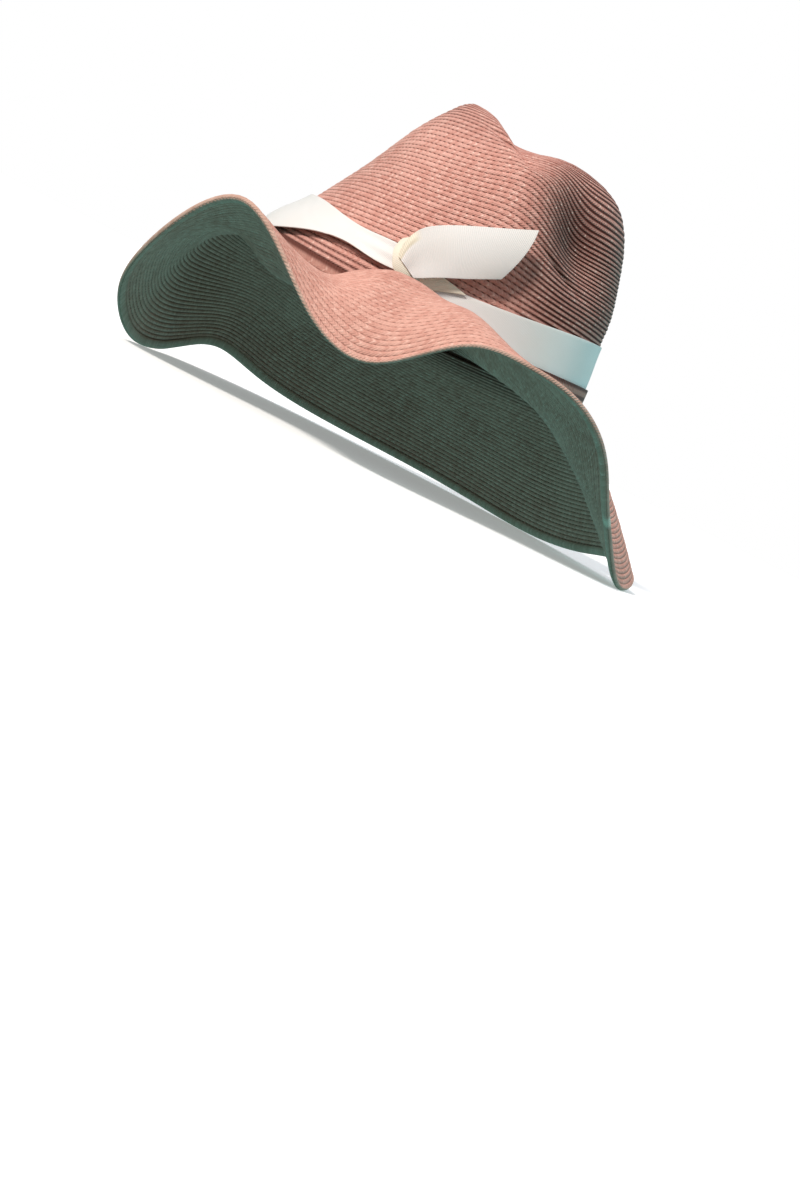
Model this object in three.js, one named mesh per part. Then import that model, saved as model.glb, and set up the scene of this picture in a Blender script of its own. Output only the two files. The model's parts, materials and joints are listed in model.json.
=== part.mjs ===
import * as THREE from 'three';

// Floppy sun hat in sewn straw braid with a tied ribbon, in millimetres.
// The pieces are worked out in the hat's own frame: the origin is the centre of the head opening,
// +Z is the crown's axis, -Y the front and +X the wearer's left. Turns are degrees from the front
// towards the wearer's left. The group then sets the hat on its lowest points, centred on the origin.

// Straw and cloth
const strawWall = 1.4;
const seam = 0.3;
const ribbonWidth = 25.5;
const ribbonThickness = 0.9;

// The head opening is an oval whose sides dip below its front and back
const opening = { halfWidth: 87, frontY: -104, backY: 103.4, sideDip: 8 };

// Crown sections, from the head opening (share 0) to the middle of the tip (share 1):
// where each braid row stands at the front, at the sides and at the back
const crownSections = [
  { share: 0.0, frontY: -104, frontZ: 0, sideX: 87, sideZ: -8, backY: 103.4, backZ: 0 },
  { share: 0.1, frontY: -98.5, frontZ: 15, sideX: 86.3, sideZ: 12, backY: 100.5, backZ: 14 },
  { share: 0.2, frontY: -88.5, frontZ: 27.5, sideX: 85.3, sideZ: 32, backY: 97.5, backZ: 28 },
  { share: 0.32, frontY: -78, frontZ: 43, sideX: 83.5, sideZ: 54, backY: 95.5, backZ: 45 },
  { share: 0.45, frontY: -67.5, frontZ: 60, sideX: 79.5, sideZ: 76, backY: 92, backZ: 61 },
  { share: 0.57, frontY: -58.5, frontZ: 77, sideX: 73.5, sideZ: 95.5, backY: 87.5, backZ: 76 },
  { share: 0.66, frontY: -49, frontZ: 95, sideX: 65, sideZ: 107, backY: 82, backZ: 90 },
  { share: 0.73, frontY: -39.5, frontZ: 109, sideX: 54, sideZ: 112.5, backY: 73.5, backZ: 102.5 },
  { share: 0.79, frontY: -32, frontZ: 118, sideX: 43, sideZ: 113.5, backY: 63, backZ: 109.5 },
  { share: 0.84, frontY: -25.5, frontZ: 120.5, sideX: 34, sideZ: 114, backY: 53, backZ: 112.5 },
  { share: 0.89, frontY: -16, frontZ: 119, sideX: 24, sideZ: 114, backY: 43, backZ: 114 },
  { share: 0.94, frontY: -5, frontZ: 116, sideX: 13, sideZ: 114, backY: 30, backZ: 115 },
  { share: 1.0, frontY: 14, frontZ: 115, sideX: 0, sideZ: 115, backY: 14, backZ: 115 },
];

// How much of its side height a braid row has at each turn: the rows climb slowly from the front
// and drop quickly behind the near side's fold
const rowLift = [
  { turn: 0, lift: 0 },
  { turn: 20, lift: 0.2 },
  { turn: 35, lift: 0.42 },
  { turn: 55, lift: 0.57 },
  { turn: 80, lift: 0.82 },
  { turn: 96, lift: 1 },
  { turn: 104, lift: 0.88 },
  { turn: 112, lift: 0.64 },
  { turn: 120, lift: 0.4 },
  { turn: 130, lift: 0.18 },
  { turn: 145, lift: 0.06 },
  { turn: 180, lift: 0 },
  { turn: 215, lift: 0.2 },
  { turn: 245, lift: 0.62 },
  { turn: 270, lift: 0.95 },
  { turn: 295, lift: 0.75 },
  { turn: 325, lift: 0.35 },
];
const liftBegins = 0.35;

// Soft dents pushed in towards a point inside the crown. slant is the turn that a dent's middle
// moves by for each whole share up the crown.
const dentFocus = new THREE.Vector3(0, 14, 55);
const crownDents = [
  { turn: 131, share: 0.47, turnSpan: 17, shareSpan: 0.17, slant: -60, depth: 9 },
  { turn: 104, share: 0.4, turnSpan: 15, shareSpan: 0.22, slant: -40, depth: -3 },
  { turn: 262, share: 0.6, turnSpan: 26, shareSpan: 0.14, slant: 0, depth: 4 },
];

// The crease across the tip behind the front peak. It runs from the middle (x 0) back towards the
// sides, drops steeply off the peak and comes up softly behind, and fades out down the walls.
const tipCrease = { middleY: -5, sideX: 60, sideY: 12, depth: 8.5, frontSpan: 8, backSpan: 24 };
const creaseFade = { low: 92, high: 112 };

// Brim folds. out and rise are the edge's distance outside the head opening and its height above
// the opening's plane; leave and arrive are the brim's slope in degrees at the crown and at the edge.
const brimFolds = [
  { turn: 0, out: 25, rise: -82, leave: 5, arrive: -95 },
  { turn: 8, out: 30, rise: -82.7, leave: 6, arrive: -93 },
  { turn: 16, out: 40, rise: -81, leave: 8, arrive: -92 },
  { turn: 30, out: 67, rise: -65.5, leave: 12, arrive: -75 },
  { turn: 45, out: 98, rise: -32, leave: 8, arrive: -50 },
  { turn: 60, out: 109, rise: 10.5, leave: -12, arrive: 10 },
  { turn: 75, out: 106.5, rise: -17, leave: 32, arrive: -44 },
  { turn: 90, out: 105, rise: -32.5, leave: 52, arrive: -73 },
  { turn: 100, out: 105, rise: -6, leave: 33, arrive: -48 },
  { turn: 110, out: 106, rise: 1, leave: 2, arrive: -10 },
  { turn: 120, out: 102, rise: -3, leave: -16, arrive: 4 },
  { turn: 130, out: 93, rise: -18, leave: -28, arrive: 0 },
  { turn: 140, out: 79, rise: -40, leave: -44, arrive: -15 },
  { turn: 150, out: 71, rise: -60, leave: -54, arrive: -32 },
  { turn: 160, out: 69, rise: -77, leave: -54, arrive: -42 },
  { turn: 168, out: 69, rise: -81.8, leave: -50, arrive: -50 },
  { turn: 180, out: 70, rise: -76, leave: -45, arrive: -50 },
  { turn: 192, out: 66, rise: -70, leave: -40, arrive: -52 },
  { turn: 206, out: 62, rise: -76, leave: -40, arrive: -60 },
  { turn: 220, out: 61, rise: -81.4, leave: -38, arrive: -65 },
  { turn: 231, out: 62, rise: -82, leave: -36, arrive: -66 },
  { turn: 244, out: 64, rise: -80.4, leave: -35, arrive: -66 },
  { turn: 262, out: 66, rise: -79, leave: -32, arrive: -68 },
  { turn: 282, out: 65, rise: -78, leave: -28, arrive: -76 },
  { turn: 300, out: 59, rise: -73, leave: -25, arrive: -85 },
  { turn: 315, out: 48, rise: -67, leave: -15, arrive: -90 },
  { turn: 330, out: 36, rise: -74, leave: -5, arrive: -95 },
  { turn: 345, out: 27, rise: -80, leave: 0, arrive: -98 },
];
const brimFullness = 1.12;

// The last braid row is turned under and sewn along the edge. Where the hat stands on it, it is
// pressed flat: that is where it would come within settle of the surface, floorDrop below the opening.
const edgeRow = { width: 5, thickness: 1.1, overhang: 0.4, floorDrop: 83.2, settle: 1.1 };

// Course of the ribbon round the crown, gathered narrow on its way into the knot. low and high are
// the heights of its edges, and proud is how far it stands off the straw.
const ribbonCourse = [
  { turn: 81, low: -4, high: 19.5, proud: 0.4 },
  { turn: 96, low: -5, high: 20.5, proud: 0.4 },
  { turn: 115, low: -1.5, high: 23.5, proud: 0.4 },
  { turn: 140, low: 3.5, high: 28.5, proud: 0.4 },
  { turn: 160, low: 6, high: 31, proud: 0.4 },
  { turn: 180, low: 7, high: 32, proud: 0.4 },
  { turn: 215, low: 5, high: 30, proud: 0.4 },
  { turn: 250, low: 1, high: 26, proud: 0.4 },
  { turn: 270, low: 0, high: 25, proud: 0.4 },
  { turn: 300, low: 2, high: 27, proud: 0.4 },
  { turn: 335, low: 7, high: 32, proud: 0.8 },
  { turn: 360, low: 8, high: 33, proud: 1.6 },
  { turn: 380, low: 9, high: 33, proud: 1.8 },
  { turn: 395, low: 13, high: 32, proud: 1.4 },
  { turn: 408, low: 16.5, high: 29.5, proud: 1.2 },
  { turn: 420, low: 17, high: 28, proud: 1.2 },
  { turn: 430, low: 15, high: 28.5, proud: 1.2 },
  { turn: 436, low: 14, high: 29, proud: 1 },
];

// Knot and its one loose tail, on the wearer's left
const knot = { turn: 78.5, z: 22, depth: 9, length: 14, height: 20, lean: 28 };
const tail = { rootY: -14.2, rootZ: 28.9, rise: 26.5, topLength: 63, lowLength: 42, rootWidth: 17, flareLength: 12 };
const tailStandOff = [
  { along: 0, x: 93.5 },
  { along: 0.3, x: 95.5 },
  { along: 0.65, x: 95 },
  { along: 1, x: 91 },
];

const turnSteps = { crown: 60, brim: 80, ribbon: 60 };
const fullTurn = 360;
const radians = Math.PI / 180;

// A smooth curve through a table's rows: slopes are settled so that bends have no jumps
function curveThrough(rows, key, column, period = 0) {
  const count = rows.length;
  const at = (i) => rows[((i % count) + count) % count];
  const place = (i) => at(i)[key] + (period ? Math.floor(i / count) * period : 0);
  const gap = (i) => place(i + 1) - place(i);
  const steep = (i) => (at(i + 1)[column] - at(i)[column]) / gap(i);
  const slopes = rows.map(() => 0);
  for (let round = 0; round < 60; round += 1) {
    for (let i = 0; i < count; i += 1) {
      const first = !period && i === 0;
      const last = !period && i === count - 1;
      if (first) {
        slopes[i] = 1.5 * steep(i) - slopes[i + 1] / 2;
      } else if (last) {
        slopes[i] = 1.5 * steep(i - 1) - slopes[i - 1] / 2;
      } else {
        const before = gap(i - 1);
        const after = gap(i);
        const pull = 3 * (after * steep(i - 1) + before * steep(i));
        const near = after * slopes[(i - 1 + count) % count] + before * slopes[(i + 1) % count];
        slopes[i] = (pull - near) / (2 * (before + after));
      }
    }
  }
  return (value) => {
    let x = value;
    if (period) x = rows[0][key] + ((((x - rows[0][key]) % period) + period) % period);
    let i = period ? count - 1 : count - 2;
    while (i > 0 && place(i) > x) i -= 1;
    const h = gap(i);
    const u = (x - place(i)) / h;
    const a = at(i)[column];
    const b = at(i + 1)[column];
    const m = slopes[i] * h;
    const n = slopes[(i + 1) % count] * h;
    return a + u * (m + u * (3 * (b - a) - 2 * m - n + u * (2 * (a - b) + m + n)));
  };
}

const sectionCurves = {};
for (const column of ['frontY', 'frontZ', 'sideX', 'sideZ', 'backY', 'backZ']) {
  sectionCurves[column] = curveThrough(crownSections, 'share', column);
}
const liftAt = curveThrough(rowLift, 'turn', 'lift', fullTurn);
const foldCurves = {};
for (const column of ['out', 'rise', 'leave', 'arrive']) {
  foldCurves[column] = curveThrough(brimFolds, 'turn', column, fullTurn);
}
const courseCurves = {};
for (const column of ['low', 'high', 'proud']) {
  courseCurves[column] = curveThrough(ribbonCourse, 'turn', column);
}
const standOffAt = curveThrough(tailStandOff, 'along', 'x');

// A point of the crown's outside
function crownPoint(turn, share) {
  const c = Math.cos(turn * radians);
  const s = Math.sin(turn * radians);
  const row = {};
  for (const column of Object.keys(sectionCurves)) row[column] = sectionCurves[column](share);
  const middleY = (row.frontY + row.backY) / 2;
  const halfLength = (row.backY - row.frontY) / 2;
  const level = row.frontZ + (row.backZ - row.frontZ) * (1 - c) / 2;
  const blend = THREE.MathUtils.smoothstep(share, 0, liftBegins);
  const lift = s * s * (1 - blend) + liftAt(turn) * blend;
  const z = level + (row.sideZ - (row.frontZ + row.backZ) / 2) * lift;
  const point = new THREE.Vector3(row.sideX * s, middleY - halfLength * c, z);
  let push = 0;
  for (const dent of crownDents) {
    let away = turn - dent.turn - dent.slant * (share - dent.share);
    away -= fullTurn * Math.round(away / fullTurn);
    const across = away / dent.turnSpan;
    const up = (share - dent.share) / dent.shareSpan;
    push += dent.depth * Math.exp(-across * across - up * up);
  }
  const inward = dentFocus.clone().sub(point).normalize();
  point.addScaledVector(inward, push);
  const sideways = point.x / tipCrease.sideX;
  const behind = point.y - tipCrease.middleY - (tipCrease.sideY - tipCrease.middleY) * sideways * sideways;
  const reachAcross = behind / (behind < 0 ? tipCrease.frontSpan : tipCrease.backSpan);
  const fade = THREE.MathUtils.smoothstep(point.z, creaseFade.low, creaseFade.high);
  point.z -= tipCrease.depth * fade * Math.exp(-reachAcross * reachAcross);
  return point;
}

// A point of the brim's upper face, at a share of the way from the crown to the edge
function brimPoint(turn, way) {
  const c = Math.cos(turn * radians);
  const s = Math.sin(turn * radians);
  const halfLength = (opening.backY - opening.frontY) / 2;
  const middleY = (opening.backY + opening.frontY) / 2;
  const root = new THREE.Vector3(opening.halfWidth * s, middleY - halfLength * c, -opening.sideDip * s * s);
  const outward = new THREE.Vector3(halfLength * s, -opening.halfWidth * c, 0).normalize();
  root.addScaledVector(outward, seam);
  const fold = {};
  for (const column of Object.keys(foldCurves)) fold[column] = foldCurves[column](turn);
  const out = fold.out - seam;
  const fall = fold.rise - root.z;
  const pull = brimFullness * Math.hypot(out, fall);
  const w = way;
  const startPull = pull * w * (1 - w) * (1 - w);
  const endPull = -pull * w * w * (1 - w);
  const ease = w * w * (3 - 2 * w);
  const leave = fold.leave * radians;
  const arrive = fold.arrive * radians;
  const along = ease * out + startPull * Math.cos(leave) + endPull * Math.cos(arrive);
  const up = ease * fall + startPull * Math.sin(leave) + endPull * Math.sin(arrive);
  return root.addScaledVector(outward, along).add(new THREE.Vector3(0, 0, up));
}

// How far along the brim the turned-under edge row begins
function edgeRowWay(turn) {
  const sample = 0.96;
  const length = brimPoint(turn, 1).distanceTo(brimPoint(turn, sample)) / (1 - sample);
  return 1 - edgeRow.width / length;
}

// The normal of a surface, from its steps round the hat and along it
function normalOf(surface, turn, share) {
  const turnStep = 0.5;
  const shareStep = 0.004;
  const low = Math.max(0, share - shareStep);
  const high = Math.min(1, share + shareStep);
  const round = surface(turn + turnStep, share).sub(surface(turn - turnStep, share));
  const up = surface(turn, high).sub(surface(turn, low));
  return round.cross(up).normalize();
}

const crownOut = (turn, share) => normalOf(crownPoint, turn, share);
const brimUp = (turn, way) => normalOf(brimPoint, turn, way).negate();

const shorter = (points, a, c, b, d) => points[a].distanceTo(points[c]) < points[b].distanceTo(points[d]);

// One closed body from rings of equal count. A ring that is a single point closes an end.
// Without such ends the rings close on each other, or are left as end faces of a strip.
function skin(rings, closesRound, closesOn) {
  const points = [];
  const first = rings.map((ring) => {
    const start = points.length;
    points.push(...ring);
    return start;
  });
  const faces = [];
  const ringCount = rings.length;
  const size = Math.max(...rings.map((ring) => ring.length));
  const steps = closesRound ? size : size - 1;
  const last = closesOn ? ringCount : ringCount - 1;
  for (let r = 0; r < last; r += 1) {
    const next = (r + 1) % ringCount;
    for (let i = 0; i < steps; i += 1) {
      const j = (i + 1) % size;
      const a = first[r] + (rings[r].length > 1 ? i : 0);
      const b = first[r] + (rings[r].length > 1 ? j : 0);
      const c = first[next] + (rings[next].length > 1 ? j : 0);
      const d = first[next] + (rings[next].length > 1 ? i : 0);
      if (a === b) faces.push(a, c, d);
      else if (c === d) faces.push(a, b, c);
      else if (shorter(points, a, c, b, d)) faces.push(a, b, c, a, c, d);
      else faces.push(a, b, d, b, c, d);
    }
  }
  const geometry = new THREE.BufferGeometry().setFromPoints(points);
  geometry.setIndex(faces);
  geometry.computeVertexNormals();
  return geometry;
}

// A strip of cloth or braid: each station is a closed loop of points, and flat faces end it
function strip(stations) {
  const geometry = skin(stations, true, false);
  const size = stations[0].length;
  const faces = Array.from(geometry.index.array);
  const half = size / 2;
  const end = (stations.length - 1) * size;
  for (let i = 0; i < half - 1; i += 1) {
    const across = size - 1 - i;
    faces.push(i, across, i + 1, across, across - 1, i + 1);
    faces.push(end + i, end + i + 1, end + across, end + across, end + i + 1, end + across - 1);
  }
  geometry.setIndex(faces);
  geometry.computeVertexNormals();
  return geometry;
}

const turnsOf = (count) => Array.from({ length: count }, (_, i) => (fullTurn * i) / count);

function crownGeometry() {
  const turns = turnsOf(turnSteps.crown);
  const seat = 0.002;
  const shares = [seat, 0.07, 0.14, 0.2, 0.26, 0.33, 0.4, 0.46, 0.52, 0.58, 0.63, 0.67, 0.71, 0.75,
    0.79, 0.83, 0.87, 0.91, 0.955];
  const outside = shares.map((share) => turns.map((turn) => crownPoint(turn, share)));
  const inside = shares.map((share, row) => turns.map((turn, i) => {
    const normal = crownOut(turn, share);
    const point = outside[row][i].clone().addScaledVector(normal, -strawWall);
    if (row === 0) point.z = outside[0][i].z;
    return point;
  }));
  const tip = crownPoint(0, 1);
  const underTip = tip.clone().add(new THREE.Vector3(0, 0, -strawWall));
  return skin([[underTip], ...inside.reverse(), ...outside, [tip]], true, false);
}

function brimGeometry() {
  const turns = turnsOf(turnSteps.brim);
  const collarShare = 0.05;
  const openWays = [0, 0.1, 0.21, 0.32, 0.43, 0.54, 0.65, 0.76, 0.86];
  const tuck = strawWall + seam;
  const loops = turns.map((turn) => {
    const wallTop = crownPoint(turn, collarShare);
    const wallFoot = crownPoint(turn, 0);
    const topIn = crownOut(turn, collarShare).negate();
    const footIn = crownOut(turn, 0).negate().setZ(0).normalize();
    const ways = [...openWays, edgeRowWay(turn), 1];
    const upper = ways.map((way) => brimPoint(turn, way));
    const lower = ways.map((way, i) => {
      return upper[i].clone().addScaledVector(brimUp(turn, way), -strawWall);
    });
    const foot = wallFoot.clone().addScaledVector(footIn, tuck);
    const heel = wallFoot.clone().addScaledVector(footIn, tuck + strawWall);
    heel.z -= strawWall / 2;
    lower[0].z = Math.min(lower[0].z, upper[0].z - strawWall / 2);
    return [
      wallTop.clone().addScaledVector(topIn, tuck),
      foot,
      ...upper,
      ...lower.reverse(),
      heel,
      wallTop.clone().addScaledVector(topIn, tuck + strawWall),
    ];
  });
  return skin(loops, true, true);
}

function edgeRowGeometry() {
  const near = strawWall + seam;
  const far = near + edgeRow.thickness;
  const loops = turnsOf(turnSteps.brim).map((turn) => {
    const ways = [edgeRowWay(turn), 1];
    const beyond = brimPoint(turn, 1).sub(brimPoint(turn, ways[0])).setLength(edgeRow.overhang);
    const points = ways.map((way) => brimPoint(turn, way));
    const normals = ways.map((way) => brimUp(turn, way));
    points[1].add(beyond);
    const upper = points.map((point, i) => point.clone().addScaledVector(normals[i], -near));
    const lower = points.map((point, i) => point.clone().addScaledVector(normals[i], -far));
    if (Math.min(upper[1].z, lower[1].z) < edgeRow.settle - edgeRow.floorDrop) {
      upper[1].z = -edgeRow.floorDrop;
      lower[1].z = -edgeRow.floorDrop;
    }
    return [...upper, ...lower.reverse()];
  });
  return skin(loops, true, true);
}

// The share of the crown at which its outside reaches a height
function shareAtHeight(turn, z) {
  let low = 0;
  let high = 0.45;
  for (let i = 0; i < 30; i += 1) {
    const middle = (low + high) / 2;
    if (crownPoint(turn, middle).z < z) low = middle;
    else high = middle;
  }
  return (low + high) / 2;
}

function ribbonBandGeometry() {
  const begin = ribbonCourse[0].turn;
  const end = ribbonCourse[ribbonCourse.length - 1].turn;
  const step = fullTurn / turnSteps.ribbon;
  const turns = [begin];
  for (let turn = step * Math.ceil((begin + 1) / step); turn < end - 1; turn += step) turns.push(turn);
  turns.push(end);
  const acrossSteps = 4;
  const stations = turns.map((turn) => {
    const low = courseCurves.low(turn);
    const high = courseCurves.high(turn);
    const proud = courseCurves.proud(turn);
    const outer = [];
    const inner = [];
    for (let i = 0; i <= acrossSteps; i += 1) {
      const share = shareAtHeight(turn, low + ((high - low) * i) / acrossSteps);
      const point = crownPoint(turn, share);
      const normal = crownOut(turn, share);
      outer.push(point.clone().addScaledVector(normal, proud + ribbonThickness));
      inner.push(point.clone().addScaledVector(normal, proud));
    }
    return [...inner, ...outer.reverse()];
  });
  return strip(stations);
}

// The knot is a wrapped pad of ribbon, plump in the middle and leaning back
function knotGeometry() {
  const geometry = new THREE.SphereGeometry(1, 16, 12);
  geometry.deleteAttribute('uv');
  geometry.scale(knot.depth / 2, knot.length / 2, knot.height / 2);
  return geometry;
}

function tailGeometry() {
  const rise = tail.rise * radians;
  const along = new THREE.Vector2(Math.cos(rise), Math.sin(rise));
  const across = new THREE.Vector2(-Math.sin(rise), Math.cos(rise));
  const lengthSteps = 12;
  const acrossSteps = 4;
  const stations = [];
  for (let i = 0; i <= lengthSteps; i += 1) {
    const part = i / lengthSteps;
    const inner = [];
    const outer = [];
    for (let k = 0; k <= acrossSteps; k += 1) {
      const side = k / acrossSteps - 0.5;
      const reach = THREE.MathUtils.lerp(tail.lowLength, tail.topLength, side + 0.5) * part;
      const open = THREE.MathUtils.smoothstep(reach, 0, tail.flareLength);
      const width = tail.rootWidth + (ribbonWidth - tail.rootWidth) * open;
      const y = tail.rootY + along.x * reach + across.x * width * side;
      const z = tail.rootZ + along.y * reach + across.y * width * side;
      const x = standOffAt(part);
      outer.push(new THREE.Vector3(x + ribbonThickness, y, z));
      inner.push(new THREE.Vector3(x, y, z));
    }
    stations.push([...inner, ...outer.reverse()]);
  }
  return strip(stations);
}

// Colours and finish
const straw = new THREE.MeshStandardMaterial({ color: 0xd8937f, roughness: 0.75, metalness: 0 });
const strawEdge = new THREE.MeshStandardMaterial({ color: 0xcf9a86, roughness: 0.75, metalness: 0 });
const grosgrain = new THREE.MeshStandardMaterial({ color: 0xf4ead8, roughness: 0.6, metalness: 0 });

function named(name, geometry, material) {
  const mesh = new THREE.Mesh(geometry, material);
  mesh.name = name;
  return mesh;
}

const hat = new THREE.Group();
hat.add(named('crown', crownGeometry(), straw));
hat.add(named('brim', brimGeometry(), straw));
hat.add(named('brim_edge', edgeRowGeometry(), strawEdge));
hat.add(named('ribbon_band', ribbonBandGeometry(), grosgrain));

const knotMesh = named('ribbon_knot', knotGeometry(), grosgrain);
const knotSeat = crownPoint(knot.turn, shareAtHeight(knot.turn, knot.z));
const knotNormal = crownOut(knot.turn, shareAtHeight(knot.turn, knot.z));
knotMesh.position.copy(knotSeat).addScaledVector(knotNormal, 1 + ribbonThickness + seam + knot.depth / 2);
knotMesh.rotation.x = knot.lean * radians;
hat.add(knotMesh);
hat.add(named('ribbon_tail', tailGeometry(), grosgrain));

// The hat stands on its brim, centred on the origin
const group = new THREE.Group();
group.add(hat);
const reach = new THREE.Box3().setFromObject(hat);
const centre = reach.getCenter(new THREE.Vector3());
hat.position.set(-centre.x, -centre.y, -reach.min.z);
group.updateMatrixWorld(true);

export default group;
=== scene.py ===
import json
import math

import bpy
import numpy as np
from mathutils import Matrix, Vector


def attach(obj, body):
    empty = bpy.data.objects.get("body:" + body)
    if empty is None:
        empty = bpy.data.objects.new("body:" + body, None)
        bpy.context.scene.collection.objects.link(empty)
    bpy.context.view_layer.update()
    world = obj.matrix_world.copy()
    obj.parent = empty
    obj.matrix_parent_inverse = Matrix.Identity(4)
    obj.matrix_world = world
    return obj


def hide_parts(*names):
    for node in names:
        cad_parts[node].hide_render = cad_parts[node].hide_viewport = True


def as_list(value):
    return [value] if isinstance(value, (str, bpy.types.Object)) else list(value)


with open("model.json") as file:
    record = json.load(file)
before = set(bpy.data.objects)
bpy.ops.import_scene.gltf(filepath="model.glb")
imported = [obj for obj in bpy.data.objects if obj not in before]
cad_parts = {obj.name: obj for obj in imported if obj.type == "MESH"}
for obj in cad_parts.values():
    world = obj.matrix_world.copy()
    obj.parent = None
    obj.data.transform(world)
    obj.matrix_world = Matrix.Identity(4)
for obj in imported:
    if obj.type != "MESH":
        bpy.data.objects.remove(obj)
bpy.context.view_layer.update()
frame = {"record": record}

# Sizes are in millimetres in the hat's own frame: the centre of the head opening is the origin,
# -Y is the front and +X the wearer's left. Turns are degrees from the front towards the left.
mounts = {m["name"]: m for m in frame["record"]["mounts"]}
fullTurn = 360.0
straw = {
    "wall": 1.4, "seam": 0.3, "stitch": 3.4,  # its thickness, the gap at a sewn seam, a stitch's length
    "roundness": 0.58,  # below 1 a row is fuller than a sine
    "uneven": 0.22,  # how much hand sewing changes a row's height
}
metre = 1000  # in millimetres
weldDistance = 0.000002  # in metres
hatOrigin = np.array(mounts["head_opening"]["pos_m"]) * metre


def tableOf(names, rows):
    return {name: [row[i] for row in rows] for i, name in enumerate(names.split())}


def curveThrough(places, values, period=0.0, settling=60):
    # a smooth curve through a table, without jumps in its bends; its slopes settle in so many rounds
    x, y, n = np.array(places, float), np.array(values, float), len(places)
    if period:
        gap, steep = np.diff(np.append(x, x[0] + period)), np.diff(np.append(y, y[0]))
    else:
        gap, steep = np.diff(x), np.diff(y)
    steep = steep / gap
    slope = np.zeros(n)
    for settle in range(settling):
        for i in range(n):
            if not period and i == 0:
                slope[0] = 1.5 * steep[0] - slope[1] / 2
            elif not period and i == n - 1:
                slope[i] = 1.5 * steep[i - 1] - slope[i - 1] / 2
            else:
                before, after = gap[i - 1], gap[i]
                pull = 3 * (after * steep[i - 1] + before * steep[i])
                near = after * slope[i - 1] + before * slope[(i + 1) % n]
                slope[i] = (pull - near) / (2 * (before + after))

    def at(value):
        t = np.asarray(value, float)
        if period:
            t = x[0] + (t - x[0]) % period
        i = np.clip(np.searchsorted(x, t, side="right") - 1, 0, len(gap) - 1)
        h = gap[i]
        u = (t - x[i]) / h
        a, b = y[i], y[(i + 1) % n]
        m, k = slope[i] * h, slope[(i + 1) % n] * h
        return a + u * (m + u * (3 * (b - a) - 2 * m - k + u * (2 * (a - b) + m + k)))

    return at


def smoothStep(value, low, high):
    u = np.clip((value - low) / (high - low), 0, 1)
    return u * u * (3 - 2 * u)


def unit(v):
    return v / np.maximum(np.linalg.norm(v, axis=-1, keepdims=True), 1e-9)


# Crown
crown = {
    "rows": 58, "segments": 240, "outerSamples": (0, 0.17, 0.38, 0.62, 0.83), "innerSamples": (0, 0.5),
    "ridge": 0.56, "backRidge": 0.58, "innerRidge": 0.6, "liftBegins": 0.35,
    "dentFocus": (0, 14, 55),  # dents push towards this place inside
    "lowest": 0.002,  # the share where the braid begins, just above the seam
    "wander": 0.09,  # how far its rows stray, in rows
    "sections": tableOf("share frontY frontZ sideX sideZ backY backZ", [
        (0.0, -104, 0, 87, -8, 99.2, 0),
        (0.1, -98.5, 15, 86.3, 12, 98.2, 14),
        (0.2, -88.5, 27.5, 85.3, 32, 96.6, 28),
        (0.32, -78, 43, 83.5, 54, 95.5, 45),
        (0.45, -67.5, 60, 79.5, 76, 92, 61),
        (0.57, -58.5, 77, 73.5, 95.5, 87.5, 76),
        (0.66, -49, 95, 65, 107, 82, 90),
        (0.73, -39.5, 109, 54, 112.5, 73.5, 102.5),
        (0.79, -32, 118, 43, 113.5, 63, 109.5),
        (0.84, -25.5, 120.5, 34, 114, 53, 112.5),
        (0.89, -16, 119, 24, 114, 43, 114),
        (0.94, -5, 116, 13, 114, 30, 115),
        (1.0, 14, 115, 0, 115, 14, 115),
    ]),
    "lift": tableOf("turn lift", [
        (0, 0), (20, 0.2), (35, 0.42), (55, 0.57), (80, 0.82), (96, 1), (104, 0.88), (112, 0.64),
        (120, 0.4), (130, 0.18), (145, 0.06), (180, 0), (215, 0.2), (245, 0.62), (270, 0.95),
        (295, 0.75), (325, 0.35),
    ]),
    "dents": [  # the hollow at the left of the back, the swelling before it, the dent on the far side,
        # the thin crease below the hollow and the one beside the peak
        {"turn": 133, "share": 0.5, "turnSpan": 18, "shareSpan": 0.165, "slant": -45, "depth": 9.8},
        {"turn": 104, "share": 0.4, "turnSpan": 15, "shareSpan": 0.22, "slant": -40, "depth": -3},
        {"turn": 262, "share": 0.6, "turnSpan": 26, "shareSpan": 0.14, "slant": 0, "depth": 4},
        {"turn": 126, "share": 0.375, "turnSpan": 6, "shareSpan": 0.03, "slant": -450, "depth": 2.8},
        {"turn": 80, "share": 0.667, "turnSpan": 6.5, "shareSpan": 0.035, "slant": -380, "depth": 4.2},
    ],
    "crease": {"middleY": -5, "sideX": 60, "sideY": 12, "depth": 8.5, "frontSpan": 8, "backSpan": 24,
               "fadeLow": 92, "fadeHigh": 112},
}
sections = crown["sections"]
sectionAt = {c: curveThrough(sections["share"], sections[c]) for c in sections if c != "share"}
liftAt = curveThrough(crown["lift"]["turn"], crown["lift"]["lift"], fullTurn)


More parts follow.
